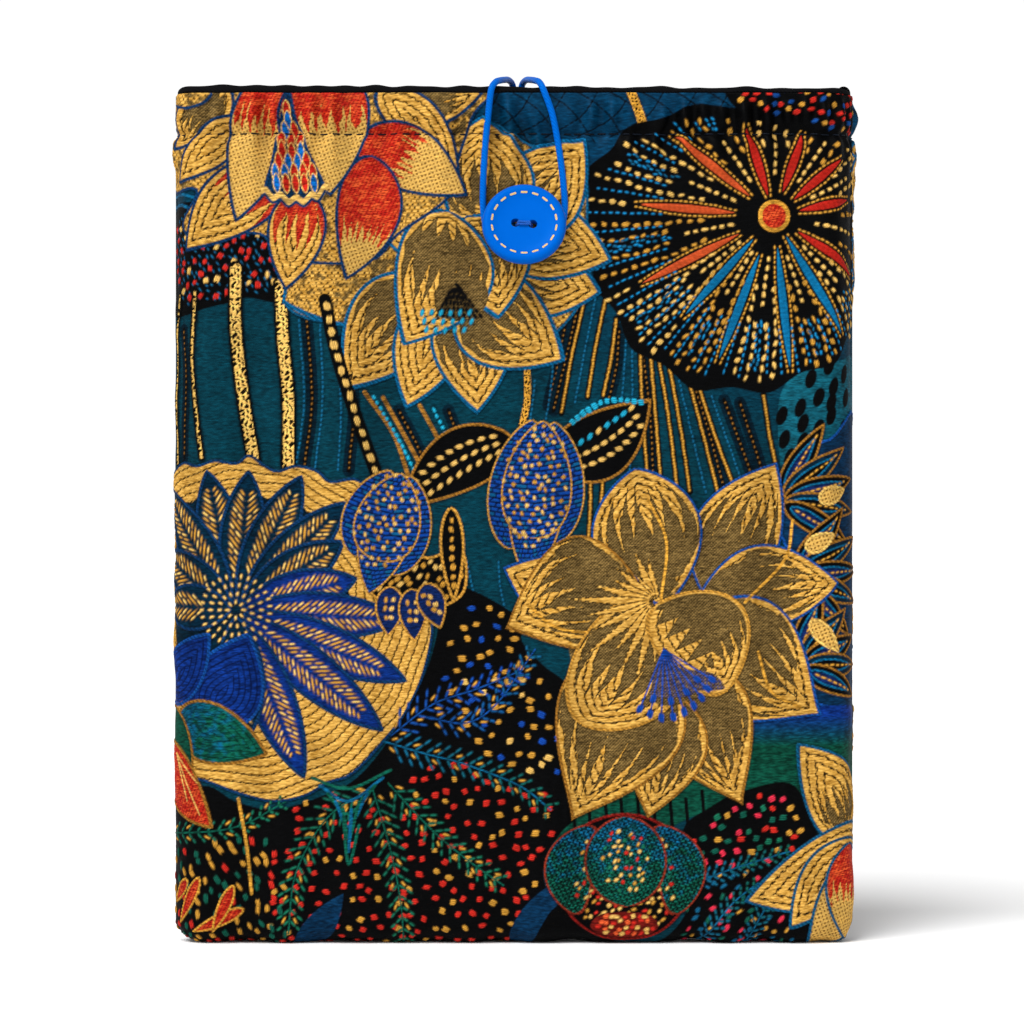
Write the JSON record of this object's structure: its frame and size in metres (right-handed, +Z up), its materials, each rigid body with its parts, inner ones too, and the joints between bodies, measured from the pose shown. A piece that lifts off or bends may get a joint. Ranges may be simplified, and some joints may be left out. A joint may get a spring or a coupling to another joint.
{
  "type": "laptop sleeve",
  "caption": "Padded fabric laptop sleeve, open at the top, closed by an elastic cord loop over a large round button.",
  "frame": {"origin": "on the flat underside, midway across and in the plane of the two side seams", "axes": "+Z up along the sleeve's height towards the mouth, -Y out of the front that carries the button, +X to the right seen from the front"},
  "size_m": [0.26, 0.0431, 0.332],
  "materials": {
    "brocade": "satin",
    "padding": "matte",
    "lining": "matte",
    "seam_thread": "matte",
    "black_thread": "matte",
    "elastic": "satin",
    "button": "satin",
    "blue_thread": "matte"
  },
  "bodies": {
    "sleeve": {"outer_front": "brocade", "outer_back": "brocade", "padding_front": "padding", "padding_back": "padding", "lining_front": "lining", "lining_back": "lining", "outer_seam_thread": "seam_thread", "lining_seam_thread": "seam_thread", "topstitch_front": "seam_thread", "topstitch_back": "seam_thread", "loop_tail_left": "elastic", "loop_tail_right": "elastic", "loop_bartack": "black_thread", "button_knot": "blue_thread"},
    "loop": {"elastic_loop": "elastic"},
    "shank": {"button_shank": "blue_thread"},
    "button": {"button": "button", "button_stitch": "blue_thread"}
  },
  "joints": [
    {"name": "loop_swing", "type": "hinge", "parent": "sleeve", "child": "loop", "pos_m": [0.00125, 0.01, 0.3285], "axis": [-1, 0, 0], "range_deg": [0, 160], "deforming": ["elastic_loop"]},
    {"name": "button_lean", "type": "hinge", "parent": "sleeve", "child": "shank", "pos_m": [0.0038, -0.0135, 0.2708], "axis": [1, 0, 0], "range_deg": [-3, 22], "stiffness_Nm_per_rad": 0.02},
    {"name": "button_twist", "type": "hinge", "parent": "shank", "child": "button", "pos_m": [0.0038, -0.0135, 0.2708], "axis": [0, -0.9563, 0.2924], "range_deg": [-20, 20], "stiffness_Nm_per_rad": 0.005}
  ]
}
